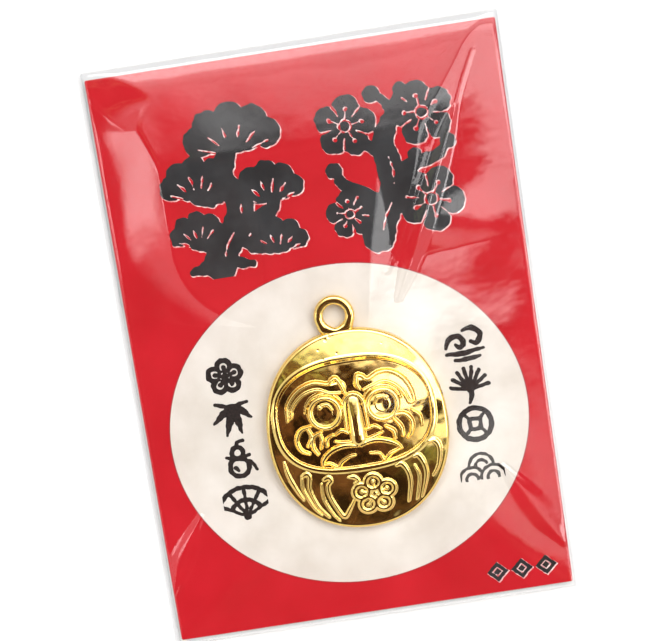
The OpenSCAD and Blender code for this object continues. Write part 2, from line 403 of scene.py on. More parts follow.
# Strokes on the floor of the face window: (height, flat share of the top, path of x, y, half-width)
FACE_STROKES = [
    # Slabs of the brows, and the raised lines round them
    (0.2, 0.5, [(-8.5, 3, 0.3), (-7.9, 5, 0.5), (-6.4, 6.2, 0.6), (-4.5, 6.7, 0.6), (-2.9, 6.2, 0.6),
     (-1.5, 6.2, 0.8)]),
    (0.2, 0.5, [(7.5, 3.2, 0.4), (7, 4.8, 0.6), (5.7, 6.2, 0.65), (4.1, 6.8, 0.6), (2.6, 6.3, 0.6),
     (1.1, 6.3, 0.8)]),
    (0.46, 0.1, [(-8.75, 2.6, 0.14), (-8.4, 4.7, 0.26), (-6.9, 6.4, 0.27), (-4.8, 7.15, 0.27),
     (-3, 6.8, 0.25), (-2.4, 7.2, 0.27), (-1.8, 7.35, 0.27), (-1.3, 6.4, 0.27), (-0.95, 5.3, 0.22)]),
    (0.42, 0.1, [(-8.2, 3, 0.14), (-7.8, 4.4, 0.22), (-6.3, 5.75, 0.24), (-4.4, 6.2, 0.24),
     (-2.9, 5.6, 0.22), (-1.5, 5.45, 0.2)]),
    (0.46, 0.1, [(7.75, 2.9, 0.2), (7.5, 4.5, 0.27), (6.6, 6.2, 0.28), (5.1, 7.25, 0.28),
     (3.6, 7.3, 0.27), (2.2, 6.7, 0.25), (1.5, 7.2, 0.27), (0.9, 7.3, 0.27), (0.7, 6.3, 0.27),
     (1, 5.6, 0.2)]),
    (0.42, 0.1, [(7.7, 2.9, 0.2), (7, 2.95, 0.22), (6.4, 4.4, 0.25), (5.4, 5.6, 0.25), (4.1, 6.15, 0.24),
     (2.7, 5.8, 0.22), (1.5, 5.4, 0.2)]),
    # Nose, the arch over it and the nostrils
    (0.34, 0.1, [(-1.4, 0.4, 0.18), (-1.4, 2.6, 0.2), (-1.3, 4.1, 0.24), (-0.75, 4.85, 0.26),
     (-0.1, 5.1, 0.26), (0.6, 4.85, 0.26), (1.15, 4.1, 0.24), (1.3, 2.6, 0.2), (1.35, 0.4, 0.18)]),
    (0.36, 0.1, [(-3, 0.1, 0.16), (-2.1, 0.6, 0.26), (-1.3, 0.2, 0.2)]),
    (0.36, 0.1, [(-3.1, -0.7, 0.16), (-2.2, -1, 0.26), (-1, -1.05, 0.2)]),
    (0.36, 0.1, [(2.9, 0.1, 0.16), (2.1, 0.55, 0.26), (1.2, 0.3, 0.2)]),
    (0.36, 0.1, [(3, -0.4, 0.16), (2.1, -0.75, 0.26), (1, -1, 0.2)]),
    # Moustache and mouth
    (0.48, 0.2, [(-0.3, -1.65, 0.2), (-1.4, -1.45, 0.34), (-2.6, -1.5, 0.38), (-3.9, -2, 0.36),
     (-4.9, -2.9, 0.32), (-5.15, -3.7, 0.16)]),
    (0.48, 0.2, [(0.1, -1.7, 0.2), (1.2, -1.3, 0.34), (2.5, -1.3, 0.38), (3.8, -1.75, 0.36),
     (4.7, -2.3, 0.28), (5.2, -2.9, 0.12)]),
    (0.34, 0.1, [(-5.1, -3.6, 0.16), (-4.2, -3.55, 0.22), (-3.2, -4.25, 0.26), (-2.7, -3.6, 0.26),
     (-1.6, -3, 0.22), (-0.8, -2.85, 0.14)]),
    (0.34, 0.1, [(1.1, -2.9, 0.14), (2.3, -3.15, 0.22), (2.8, -4.1, 0.24), (3.7, -3.4, 0.24),
     (5, -2.9, 0.14)]),
    # Curls of the cheeks
    (0.44, 0.1, [(-5.9, 1.7, 0.2), (-7.3, 1.25, 0.3), (-7.95, 0, 0.3), (-7.6, -1.3, 0.28),
     (-6.6, -1.9, 0.2)]),
    (0.4, 0.1, [(-6.4, 1.5, 0.2), (-6, 0.3, 0.26), (-6.6, -0.9, 0.2)]),
    (0.44, 0.1, [(-4.7, 0.8, 0.2), (-5.8, 0.2, 0.28), (-6, -1.1, 0.28), (-5.5, -2.1, 0.2)]),
    (0.4, 0.1, [(-4.9, 0.6, 0.2), (-4.75, -0.4, 0.24), (-5, -1.4, 0.18)]),
    (0.42, 0.1, [(-3.3, 0.2, 0.2), (-4.1, -0.3, 0.26), (-4.2, -1.2, 0.2)]),
    (0.44, 0.1, [(4.7, 1.6, 0.2), (6.1, 1.55, 0.3), (6.95, 0.5, 0.3), (6.8, -0.9, 0.28), (6.2, -1.7, 0.18)]),
    (0.4, 0.1, [(4.8, 1.1, 0.2), (5.5, -0.1, 0.28), (5.6, -1.3, 0.2)]),
    (0.42, 0.1, [(3.6, 0.3, 0.2), (4.5, -0.5, 0.28), (4.55, -1.5, 0.18)]),
    (0.36, 0.1, [(7.2, 1.9, 0.14), (8.1, 0.9, 0.22), (8.2, -0.4, 0.14)]),
]
NOSE = [(-0.1, 4.0, 0.7), (-0.05, 2.5, 0.85), (-0.05, 0.4, 1.0), (-0.05, -0.8, 1.05)]
EYES = [(-3.85, 3.15, -1), (3.6, 3.2, 1)]
BALL_RISE, BALL_R, EYE_R, EYE_RING_R = 0.17, 1.7, 1.9, 1.95
PUPIL_CURL = [(-0.95, 0.3, 0.16), (-0.5, 0.95, 0.24), (0.25, 1, 0.2)]
EYE_CORNER = [(2, 0.1, 0.24), (2.6, 0.4, 0.14)]
LID_END = {1: 170, -1: 175}
EYE_RISE = {"pupil": 0.05, "curl": 0.22, "bead": 0.2, "ring": 0.46, "lid": 0.34, "corner": 0.32}
FOLDS = [
    [(-10, -2.6, 0.14), (-9.8, -4.2, 0.26), (-9.2, -6, 0.28), (-8.3, -7.9, 0.16)],
    [(-8, -4.7, 0.22), (-7.4, -4.5, 0.34), (-7.1, -5, 0.28), (-7.3, -6.6, 0.24), (-6.6, -9, 0.24),
     (-5.4, -10.7, 0.16)],
    [(-8.1, -5, 0.14), (-8.1, -6.6, 0.2), (-7.2, -9, 0.18), (-6.3, -10.3, 0.12)],
    [(-5.3, -5.5, 0.22), (-4.7, -5.3, 0.34), (-4.4, -5.8, 0.26), (-4.9, -6.4, 0.26), (-4.85, -7.8, 0.26),
     (-4.1, -9.8, 0.26), (-3.4, -10.95, 0.28), (-2.6, -10, 0.24), (-1.7, -8.6, 0.12)],
    [(-5.7, -6, 0.12), (-5.7, -8, 0.18), (-4.9, -10.2, 0.16), (-4.1, -11.4, 0.12)],
    [(4.2, -5, 0.2), (4.9, -4.9, 0.34), (5.5, -6, 0.28), (5.65, -7.6, 0.26), (5.1, -10.1, 0.16)],
    [(6.6, -4.2, 0.22), (7.2, -4.2, 0.36), (7.8, -5.6, 0.3), (7.8, -7.2, 0.26), (6.9, -9.8, 0.14)],
    [(6.5, -5.4, 0.14), (6.9, -7, 0.2), (6.2, -10, 0.14)],
    [(8.8, -2.6, 0.24), (9.4, -2.5, 0.36), (10, -3.6, 0.32), (9.6, -5.8, 0.26), (8.7, -7.2, 0.14)],
    [(-2.2, -5.6, 0.12), (-1.4, -5.7, 0.3), (-0.9, -6.3, 0.2), (-1.5, -6.5, 0.12)],
]
CREST_X, CREST_Y = 0.9, -8.35
# Casting pits in the hood: x, y, radius
PITS = [(-1.2, 10.5, 0.15), (-3.5, 11.2, 0.12), (-3, 9.95, 0.08), (-2.4, 12.3, 0.2), (4.6, 10.9, 0.08),
        (-1.9, 12.6, 0.14)]


def dome_height(x, y):
    """Height of the charm's plain domed front above its flat back, in charm coordinates."""
    return CHARM_T - DOME_R + np.sqrt(np.maximum(DOME_R**2 - x**2 - y**2, 0))


def oval_radius(x, y, a, b, power):
    """1 on an oval's outline, less inside it."""
    return (np.abs(x / a) ** power + np.abs(y / b) ** power) ** (1 / power)


def oval_point(angle, a, b, power):
    c, s = np.cos(angle), np.sin(angle)
    return a * np.sign(c) * np.abs(c) ** (2 / power), b * np.sign(s) * np.abs(s) ** (2 / power)


def ridge(share, flat=0.0):
    """Rounded height, 0 to 1, from how far inside a stroke a place is, as a share of its half-width."""
    t = np.clip(share / (1 - flat), 0, 1)
    return np.sqrt(t * (2 - t))


def relief(x, y, path, flat=0.0):
    """Rounded height, 0 to 1, over a brush stroke."""
    return ridge(stroke(x, y, path, True), flat)


def bead(x, y, cx, cy, r):
    """Rounded height, 0 to 1, over a round bead."""
    return ridge(1 - np.hypot(x - cx, y - cy) / r)


def circle_ridge(x, y, cx, cy, radius, half_width):
    """Rounded height of a raised ring."""
    return ridge(1 - np.abs(np.hypot(x - cx, y - cy) - radius) / half_width)


def window_edge(x, y):
    """Distance inside the face window's outline, in mm, less than 0 outside it."""
    wx, wy = x - WINDOW["x"], y - WINDOW["y"]
    power = np.where(wy > 0, WINDOW["top_power"], WINDOW["low_power"])
    share = oval_radius(wx, wy, WINDOW["a"], WINDOW["b"], power) + 1e-6
    return (1 - share) * np.hypot(wx, wy) / share


def eye_height(x, y, cx, cy, side):
    """A round eye: a raised ring, a shallow eyeball, a pupil with a curl and a bead, and an upper lid."""
    r = np.hypot(x - cx, y - cy)
    ball = BALL_RISE * np.clip(r / BALL_R, 0, 1) ** 2 * (r < EYE_R)
    curl = [(cx + side * dx, cy + dy, w) for dx, dy, w in PUPIL_CURL]
    corner = [(cx - side * dx, cy + dy, w) for dx, dy, w in EYE_CORNER]
    angles = np.radians(np.linspace(10, LID_END[side], 7))
    lid = [(cx + 2.55 * math.cos(a), cy + 2.5 * math.sin(a), 0.08 + 0.14 * math.sin(a)) for a in angles]
    pupil = union(EYE_RISE["pupil"] * ridge(np.clip((1 - r) / 0.2, 0, 1)),
                  EYE_RISE["curl"] * relief(x, y, curl),
                  EYE_RISE["bead"] * bead(x, y, cx + side * 0.55, cy + 0.75, 0.3))
    return union(ball + pupil,
                 EYE_RISE["ring"] * circle_ridge(x, y, cx, cy, EYE_RING_R, 0.34),
                 EYE_RISE["lid"] * relief(x, y, lid),
                 EYE_RISE["corner"] * relief(x, y, corner))


def face_height(x, y):
    """Height of the face's features above the window's floor."""
    parts = [tall * relief(x, y, path, flat) for tall, flat, path in FACE_STROKES]
    parts += [eye_height(x, y, *eye) for eye in EYES]
    nose_rise = 0.12 + 0.52 * np.clip((4.4 - y) / 4.6, 0, 1)
    return union(np.zeros(x.shape), *parts, nose_rise * relief(x, y, NOSE, 0.05))


def crest_height(x, y):
    """A five-petalled plum blossom with stamens, as raised lines."""
    height = 0.9 * bead(x, y, CREST_X, CREST_Y, 0.42)
    for c, s in petal_turns():
        petal = circle_ridge(x, y, CREST_X + 1.75 * c, CREST_Y + 1.62 * s, 1.0, 0.34)
        stamen = [(CREST_X + r * c, CREST_Y + r * s, w) for r, w in ((0.7, 0.1), (1.7, 0.14))]
        height = union(height, petal, 0.8 * relief(x, y, stamen), bead(x, y, *stamen[1][:2], 0.26))
    return height


def charm_relief(x, y):
    """Height of the charm's front above its flat back, and how much painted shade each place gets, in charm
    coordinates.
    """
    dome = dome_height(x, y)
    y = y + RELIEF_DROP
    edge = window_edge(x, y)
    wall = WALL_LOW + (WALL_HIGH - WALL_LOW) * step(*WALL_FADE, y)
    sunk = step(0, 1, edge / wall)
    floor = dome - HOOD_DEPTH * sunk
    height = floor + face_height(x, y) * step(*FACE_FADE, edge)
    below = step(*CHIN_FADE, y)
    lip = LEDGE * ridge(1 - np.abs(edge + 0.1) / CHIN_W) * below
    lip += FAINT_LEDGE * ridge(1 - np.abs(edge + 0.1) / FAINT_W) * (1 - below)
    height = union(height, dome * (edge < CHIN_W) - 9.0 * (lip <= 0) + lip)
    folds = union(*[FOLD_RISE * relief(x, y, path, 0.1) for path in FOLDS])
    folds = union(folds, CREST_RISE * crest_height(x, y)) * step(*FOLD_FADE, edge) * step(*FOLD_TOP, y)
    height = np.where(folds > 0, union(height, dome + folds), height)
    for pit in PITS:
        height -= PIT_DEPTH * bead(x, y, *pit)
    for k, (depth, size) in enumerate(UNEVEN):
        height += depth * waves(x, y, size, SEED + k)
    # painted shade: strongest on the face window's floor, fading out just above it
    painted_shade = np.clip((floor + SHADE_RISE - height) / SHADE_RISE, 0, 1) * sunk
    return height, painted_shade


# Points round the charm, rings over its front and over its rim, then the rings of its side and back
CHARM_COUNT, FRONT_RINGS, RIM_RINGS = 840, 175, 9
SIDE_LEVELS = (0.45, 0.14)
BACK_RINGS = ((0.04, 0.04), (0.16, 0.0), (1.0, 0.0))
# How much painted shade darkens the gold there, as in the front's recesses
SIDE_SHADE, BACK_SHADE = 0.3, 0.4


def build_charm():
    """The charm as rings from its middle out over the rounded rim, down the side and under the back."""
    count = CHARM_COUNT
    angles = np.linspace(0, TWO_PI, count, endpoint=False)
    ux, uy = oval_point(angles, CHARM_W / 2, CHARM_H / 2, OUTLINE_POWER)
    size = np.hypot(ux, uy)
    shares = np.linspace(0, 1, FRONT_RINGS + 1)[1:, None] * (1 - RIM_R / size)
    heights, painted_shades = charm_relief(shares * ux, shares * uy)
    rings = list(zip(shares, heights, painted_shades))
    for angle in math.pi / 2 * np.arange(1, RIM_RINGS + 1) / RIM_RINGS:
        share = 1 - RIM_R * (1 - math.sin(angle)) / size
        rings.append((share, heights[-1] - RIM_R * (1 - math.cos(angle)), 0))
    uneven = 1 - 0.012 * (1 + waves(ux, uy, 5.0, SEED + 2)) / size
    rings += [(uneven, level, SIDE_SHADE) for level in SIDE_LEVELS]
    rings += [(1 - inward / size, level, BACK_SHADE) for inward, level in BACK_RINGS]
    flat = np.zeros(count)
    points = [np.column_stack([ux * share, uy * share, flat + height]) for share, height, _ in rings]
    middle = charm_relief(np.zeros(1), np.zeros(1))[0][0]
    points = np.vstack(points + [[[0, 0, middle], [0, 0, 0]]])
    painted_shade = np.concatenate([flat + painted_shade for _, _, painted_shade in rings] + [[0, BACK_SHADE]])
    faces = ring_faces(len(rings), count)
    top, last = len(points) - 2, len(points) - 2 - count
    for i in range(count):
        j = (i + 1) % count
        faces += [(top, i, j), (top + 1, last + j, last + i)]
    charm = mesh_object("relief_charm", points + [CHARM_X, CHARM_Y, CHARM_Z], faces)
    charm.data.attributes.new("painted_shade", "FLOAT", "POINT").data.foreach_set("value", painted_shade)
    return charm


RING_HOLE_R, RING_SQUARE = 1.4, 2.7
# Its feet and its thinnest place, by their directions in degrees
FEET_AT, FOOT_WIDTH, FOOT_SPREAD = (225, 312), 14, 0.25
THIN_AT, THIN_WIDTH, THIN_DEPTH = 268, 22, 0.16


def bell(value, middle, width):
    """A smooth hump, 1 at its middle."""
    return math.exp(-((value - middle) / width) ** 2)


def build_ring():
    """The hanging ring: a soft-edged loop, slightly squared, swelling into two feet on the charm's edge."""
    centre = (RING_LOW + RING_HIGH) / 2
    outer, _, half_tall = (RING_HIGH - RING_LOW) / 2
    around, section = 144, 28
    points = []
    for i in range(around):
        angle = TWO_PI * i / around
        foot = sum(bell(math.degrees(angle), at, FOOT_WIDTH) for at in FEET_AT)
        out = outer - 0.03 + 0.02 * math.cos(3 * angle + 1) + FOOT_SPREAD * foot
        thin = THIN_DEPTH * bell(math.degrees(angle), THIN_AT, THIN_WIDTH)
        half = (out - RING_HOLE_R) / 2 - thin
        middle = (out + RING_HOLE_R) / 2
        for k in range(section):
            turn = TWO_PI * k / section
            across, up = oval_point(turn, half, half_tall, RING_SQUARE)
            lift = up * (1 - 0.02 * math.cos(2 * angle))
            spoke = np.array([math.cos(angle), math.sin(angle), 0]) * (middle + across)
            points.append(centre + spoke + [0, 0, lift])
    return mesh_object("cast_ring", points, ring_faces(around, section, closed=True))


# -------- the card and its print


def build_card():
    """The board: corners just off square, and edges slightly rounded by the cutter."""
    corner, count = 0.25, 6
    hx, hy, thick = (CARD_HIGH - CARD_LOW) / 2 * [1, 1, 2]
    outline = []
    for sx, sy, start in ((1, 1, 0), (-1, 1, 90), (-1, -1, 180), (1, -1, 270)):
        middle = np.array([sx * (hx - corner), sy * (hy - corner)])
        for a in np.radians(np.linspace(start, start + 90, count)):
            outline.append(middle + corner * np.array([math.cos(a), math.sin(a)]))
    outline = np.array(outline)
    levels = [(0.06, 0), (0.02, 0.02), (0, 0.07)]
    levels += [(0, thick - 0.05), (0.015, thick - 0.012), (0.05, thick)]
    rings = []
    for inset, level in levels:
        scale = np.array([1 - inset / hx, 1 - inset / hy])
        rings.append(np.column_stack([outline * scale, np.full(len(outline), level)]))
    points = np.vstack(rings) + [0, (CARD_HIGH[1] + CARD_LOW[1]) / 2, CARD_LOW[2]]
    total = len(outline)
    faces = [tuple(reversed(f)) for f in ring_faces(len(rings), total)]
    faces.append(tuple(reversed(range(total))))
    faces.append(tuple(range((len(rings) - 1) * total, len(rings) * total)))
    return mesh_object("red_board", points, faces, smooth=False)


def contour_loops(field, xs, ys):
    """Closed loops along which a field on a grid passes through zero, with the positive side on the left."""
    field = field.copy()
    for edge in (field[0], field[-1], field[:, 0], field[:, -1]):
        edge[:] = np.minimum(edge, -1e-3)
    inside = field > 0
    links, places = {}, {}
    mixed = inside[:-1, :-1].astype(int) + inside[1:, :-1] + inside[1:, 1:] + inside[:-1, 1:]
    for j, i in np.argwhere((mixed > 0) & (mixed < 4)):
        corners = ((j, i), (j, i + 1), (j + 1, i + 1), (j + 1, i))
        keys = (("h", j, i), ("v", j, i + 1), ("h", j + 1, i), ("v", j, i))
        leaving, entering = [], []
        for n in range(4):
            a, b = corners[n], corners[(n + 1) % 4]
            if inside[a] == inside[b]:
                continue
            t = field[a] / (field[a] - field[b])
            places[keys[n]] = (xs[a[1]] + t * (xs[b[1]] - xs[a[1]]), ys[a[0]] + t * (ys[b[0]] - ys[a[0]]))
            (leaving if inside[a] else entering).append(n)
        for n in leaving:
            following = min(entering, key=lambda m: (m - n) % 4)
            links[keys[n]] = keys[following]
    loops = []
    while links:
        first, at = links.popitem()
        loop = [places[first]]
        while at != first:
            loop.append(places[at])
            at = links.pop(at)
        loops.append(np.array(loop))
    return [loop for loop in loops if len(loop) > 5]


def stamped(name, draw, box, bottom, thick, pitch=0.09):
    """A thin flat solid whose outline is where a drawn field is positive."""
    x0, y0, x1, y1 = box
    xs, ys = np.arange(x0, x1, pitch), np.arange(y0, y1, pitch)
    loops = contour_loops(draw(*np.meshgrid(xs, ys)), xs, ys)
    curve = bpy.data.curves.new(name, "CURVE")
    curve.dimensions = "2D"
    curve.fill_mode = "BOTH"
    curve.extrude = thick / 2
    for loop in loops:
        spline = curve.splines.new("POLY")
        spline.points.add(len(loop) - 1)
        flat = np.column_stack([loop, np.zeros(len(loop)), np.ones(len(loop))])
        spline.points.foreach_set("co", flat.ravel())
        spline.use_cyclic_u = True
    holder = put(name + "_outline", curve)
    bpy.context.view_layer.update()
    mesh = bpy.data.meshes.new_from_object(holder.evaluated_get(bpy.context.evaluated_depsgraph_get()))
    bpy.data.objects.remove(holder)
    mesh.transform(Matrix.Translation((0, 0, (bottom + thick / 2) * MM)) @ Matrix.Scale(MM, 4))
    mesh.name = name
    return put(name, mesh)


def disc(x, y, cx, cy, r):
    return r - np.hypot(x - cx, y - cy)


def hoop(x, y, cx, cy, r, half_width):
    return half_width - np.abs(np.hypot(x - cx, y - cy) - r)


def cut(field, *holes):
    """A field with other fields taken away."""
    for hole in holes:
        field = np.minimum(field, -hole)
    return field


BRUSH_EDGE = 0.07


def pine_canopy(x, y, cx, cy, w, h):
    """A cloud-shaped pine canopy with a flat foot and fine rays cut into it."""
    shape = (1 - oval_radius(x - cx, y - cy, 0.4 * w, 0.36 * h, 2.2)) * 0.36 * h
    for a in np.radians(8 + 41 * np.arange(5)):
        puff = (cx + 0.34 * w * math.cos(a), cy - 0.12 * h + 0.42 * h * math.sin(a), 0.155 * w)
        shape = union(shape, disc(x, y, *puff))
    shape = np.minimum(shape, y - (cy - 0.4 * h) + 0.15 * np.cos((x - cx) * 1.2))
    rays = []
    for a in np.radians(22 + 27 * np.arange(6)):
        reach, rise = w * math.cos(a), 1.45 * h * math.sin(a)
        widths = ((0.2, 0.05), (0.29, 0.15), (0.38, 0.05))
        rays.append(stroke(x, y, [(cx + s * reach, cy - 0.42 * h + s * rise, r) for s, r in widths]))
    return cut(shape, *rays)


def draw_pine(x, y):
    """A brush-painted pine: a leaning trunk, two boughs and five cloud-like canopies."""
    trunk = [(-12.8, 11.4, 2.2), (-12, 13.4, 2), (-9.7, 16.4, 1.85), (-9.3, 19.4, 1.7),
             (-10.9, 22, 1.5), (-10.2, 24.6, 1.3), (-9.2, 26.4, 1)]
    boughs = [
        [(-9.6, 16.2, 1.2), (-7.4, 16.4, 1.1), (-5.4, 17.4, 0.95), (-4.6, 18.8, 0.7)],
        [(-10.5, 21, 1.1), (-12.6, 19.8, 1), (-14.6, 20.2, 0.8)],
        [(-11.4, 14.6, 1.1), (-13.6, 13.9, 0.95), (-15.6, 14.4, 0.7)],
        [(-10.6, 15, 0.9), (-8.4, 13.2, 0.8), (-6.2, 12.3, 0.6)],
        [(-16.4, 10.8, 0.5), (-14.4, 11.4, 0.9), (-12.4, 12.6, 1)],
        [(-12.6, 12.4, 1), (-10.6, 11.4, 0.8), (-8.8, 10.9, 0.45)],
    ]
    canopies = [(-8.9, 27.6, 12.6, 7), (-14.2, 22.2, 9.8, 6.2), (-5.4, 20.4, 9.2, 6.2),
                (-15, 15.9, 7.6, 5), (-5.3, 13.6, 8.2, 5.2)]
    bark = [[(-12.1, 12.2, 0.05), (-11.6, 13.6, 0.14), (-10.4, 15.3, 0.05)],
            [(-9.2, 17.4, 0.05), (-9.1, 19.2, 0.13), (-9.7, 20.6, 0.05)]]
    shape = cut(strokes(x, y, [trunk] + boughs), strokes(x, y, bark))
    shape = union(shape, *[pine_canopy(x, y, *canopy) for canopy in canopies])
    return shape + BRUSH_EDGE * waves(x, y, 1.1, SEED + 3)


def plum_flower(x, y, cx, cy, size, turn):
    """A solid plum blossom with its petals, heart and stamens cut out as fine lines."""

    def along(c, s, reach):
        return cx + reach * size * c, cy + reach * size * s

    petals, lines = [disc(x, y, cx, cy, 1.5 * size)], []
    for (c, s), (gap_c, gap_s) in zip(petal_turns(turn), petal_turns(turn + 36)):
        petals.append(disc(x, y, *along(c, s, 1.85), 1.42 * size))
        lines.append(stroke(x, y, [(*along(gap_c, gap_s, r), w) for r, w in ((1.25, 0.06), (2.4, 0.16))]))
        lines.append(stroke(x, y, [(*along(c, s, r), 0.09 * size) for r in (0.75, 1.5)]))
        lines.append(disc(x, y, *along(c, s, 1.75), 0.24 * size))
    lines.append(hoop(x, y, cx, cy, 0.62 * size, 0.11 * size))
    return union(*petals), lines


def draw_plum(x, y):
    """A brush-painted plum branch with blossoms and buds."""
    branches = [
        [(7.6, 11.9, 2.1), (8.4, 14, 1.95), (10.4, 17.4, 1.8), (10.2, 20.8, 1.65), (9.8, 23.6, 1.4),
         (11.2, 26.4, 1.1), (12.6, 29, 0.75)],
        [(10.6, 19, 1.1), (13.4, 20.4, 0.95), (16.4, 21, 0.75), (18, 22.6, 0.5)],
        [(9.2, 15.4, 1.1), (6.6, 17.4, 0.95), (4.2, 19, 0.75), (3.2, 20.8, 0.5)],
        [(9.9, 22.4, 1), (8, 23.4, 0.8), (5.6, 25.4, 0.6)],
        [(10, 16.8, 1), (12.2, 15.4, 0.8), (14.2, 15.8, 0.6)],
        [(11.6, 27.2, 0.7), (10.6, 28.8, 0.55), (9.4, 29.6, 0.5)],
        [(8.2, 13.2, 0.8), (6, 13.4, 0.7), (4.4, 14.4, 0.5)],
    ]
    knots = [[(8.3, 12.6, 0.05), (8.9, 14.2, 0.15), (9.9, 16, 0.05)],
             [(10.5, 18.2, 0.05), (10.6, 20, 0.13), (10.3, 21.6, 0.05)]]
    shape = cut(strokes(x, y, branches), strokes(x, y, knots))
    flowers = [(5.4, 26.3, 1.22, 80), (15.2, 26.6, 1.26, 100), (14.9, 15.6, 1.3, 60), (4.4, 15.2, 0.95, 95)]
    holes = []
    for flower in flowers:
        petals, lines = plum_flower(x, y, *flower)
        shape = union(shape, petals)
        holes += lines
    shape = cut(shape, *holes)
    buds = [(9.2, 29.8, 1.1), (18, 22.6, 1), (3.2, 20.9, 1.1), (12.9, 29.9, 0.9), (13.6, 21.4, 0.9)]
    shape = union(shape, *[disc(x, y, *bud) for bud in buds])
    return shape + BRUSH_EDGE * waves(x, y, 1.1, SEED + 4)


def draw_blossom_mark(x, y):
    """Outline of a plum blossom."""
    solid = union(disc(x, y, 0, 0, 1.2), *[disc(x, y, 1.32 * c, 1.32 * s, 1.08) for c, s in petal_turns()])
    stamens = [[(0.5 * c, 0.5 * s, 0.13), (1.3 * c, 1.3 * s, 0.2)] for c, s in petal_turns()]
    return union(0.24 - np.abs(solid - 0.24), disc(x, y, 0, 0, 0.4), strokes(x, y, stamens))


def draw_bamboo_mark(x, y):
    """Bamboo leaves on a stem."""
    leaves = [
        [(0, 1.7, 0.1), (-0.9, 1, 0.4), (-2.4, -0.2, 0.05)],
        [(0.1, 1.6, 0.1), (-0.2, 0.2, 0.45), (-0.9, -1.9, 0.05)],
        [(0.2, 1.6, 0.1), (0.7, 0.3, 0.45), (1, -1.8, 0.05)],
        [(0.3, 1.7, 0.1), (1.3, 1.2, 0.4), (2.5, 0.1, 0.05)],
    ]
    stem = [(-1.8, 2.3, 0.16), (0, 1.8, 0.2), (2.2, 2.2, 0.12)]
    return strokes(x, y, [stem] + leaves)


def draw_gourd_mark(x, y):
    """Outline of a gourd with a cord round its waist."""
    body = union(disc(x, y, 0, -0.95, 1.45), disc(x, y, 0, 0.95, 0.95))
    lines = [
        [(0, 1.8, 0.2), (0.2, 2.3, 0.16), (0.9, 2.5, 0.12)],
        [(-1.5, 0.45, 0.12), (0, 0.15, 0.2), (1.5, 0.5, 0.12)],
        [(0.2, 0.1, 0.16), (1.6, -0.5, 0.14), (2.2, -1.6, 0.08)],
        [(-0.5, -1, 0.2), (-0.2, -1.4, 0.12)],
    ]
    return union(0.22 - np.abs(body - 0.22), strokes(x, y, lines))


def draw_fan_mark(x, y):
    """A folding fan."""
    foot = -1.9
    r = np.hypot(x, y - foot)
    angle = np.degrees(np.arctan2(y - foot, x))
    open_part = np.minimum(angle - 25, 155 - angle) * 0.05
    rims = [np.minimum(0.2 - np.abs(r - at), open_part) for at in (3.9, 2.2)]
    ribs = [[(at * math.cos(a), foot + at * math.sin(a), w) for at, w in ((0.3, 0.1), (3.9, 0.16))]
            for a in np.radians((28, 59, 90, 121, 152))]
    return union(disc(x, y, 0, foot, 0.42), *rims, strokes(x, y, ribs))


def draw_cloud_mark(x, y):
    """Two curling clouds over two drifting wisps."""
    lines = [
        [(-2.4, -0.2, 0.1), (-1.9, 0.9, 0.26), (-0.7, 1.2, 0.28), (0, 0.4, 0.25), (-0.5, -0.3, 0.2),
         (-1.1, 0.1, 0.12)],
        [(0, 1.9, 0.1), (1.2, 2.1, 0.26), (2.2, 1.2, 0.28), (1.7, 0.1, 0.25), (0.9, 0.3, 0.14)],
        [(-2.4, -1, 0.12), (-0.4, -1.1, 0.26), (2.4, -0.7, 0.1)],
        [(-1.4, -1.9, 0.1), (0.4, -1.9, 0.22), (1.9, -1.7, 0.08)],
    ]
    return strokes(x, y, lines)


def draw_needle_mark(x, y):
    """A spray of pine needles over a cone."""
    turns = [(math.cos(a), math.sin(a)) for a in np.radians(np.linspace(10, 170, 8))]
    lines = [[(0.3 * c, -0.6 + 0.3 * s, 0.14), (2.5 * c, -0.6 + 2.9 * s, 0.15)] for c, s in turns]
    lines.append([(0, -0.5, 0.24), (0.1, -1.4, 0.22), (-0.3, -2.3, 0.12)])
    return union(disc(x, y, 0, -0.6, 0.42), strokes(x, y, lines))


def draw_coin_mark(x, y):
    """A round coin with a square hole."""
    square = 0.85 - np.maximum(np.abs(x), np.abs(y))
    corners = [(0.71, 0.71), (-0.71, 0.71), (-0.71, -0.71), (0.71, -0.71)]
    ticks = [[(r * c, r * s, 0.13) for r in (1.15, 1.6)] for c, s in corners]
    return union(hoop(x, y, 0, 0, 2.1, 0.24), 0.17 - np.abs(square - 0.17), strokes(x, y, ticks))


def draw_wave_mark(x, y):
    """Three overlapping round waves."""
    shape = np.full(x.shape, -9.0)
    for cx, cy in ((0, 0.2), (-1.4, -1.5), (1.4, -1.5)):
        solid = disc(x, y, cx, cy - 0.3, 1.95)
        lines = union(*[hoop(x, y, cx, cy - 0.3, r, 0.1) for r in (1.6, 0.75)])
        shape = union(cut(shape, solid), np.minimum(lines, y - cy + 0.4))
    return shape


def draw_column(x, y, cx, marks):
    """Small marks one above another."""
    shape = np.full(x.shape, -9.0)
    for cy, mark in marks.items():
        near = (np.abs(x - cx) < 3) & (np.abs(y - cy) < 2.9)
        shape[near] = union(shape[near], mark(x[near] - cx, y[near] - cy))
    return shape + 0.11 + 0.04 * waves(x, y, 0.8, SEED + 5)


# The two columns of marks: name, place across, and each mark's place along
COLUMNS = (
    ("left_marks", -14.7, {-3.1: draw_blossom_mark, -8.9: draw_bamboo_mark, -14.2: draw_gourd_mark,
                           -19.9: draw_fan_mark}),
    ("right_marks", 16.3, {-3.7: draw_cloud_mark, -9.0: draw_needle_mark, -14.2: draw_coin_mark,
                           -19.7: draw_wave_mark}),
)
LOZENGES = (16.4, 19.6, 22.8)
LOZENGE_Y = -34.3


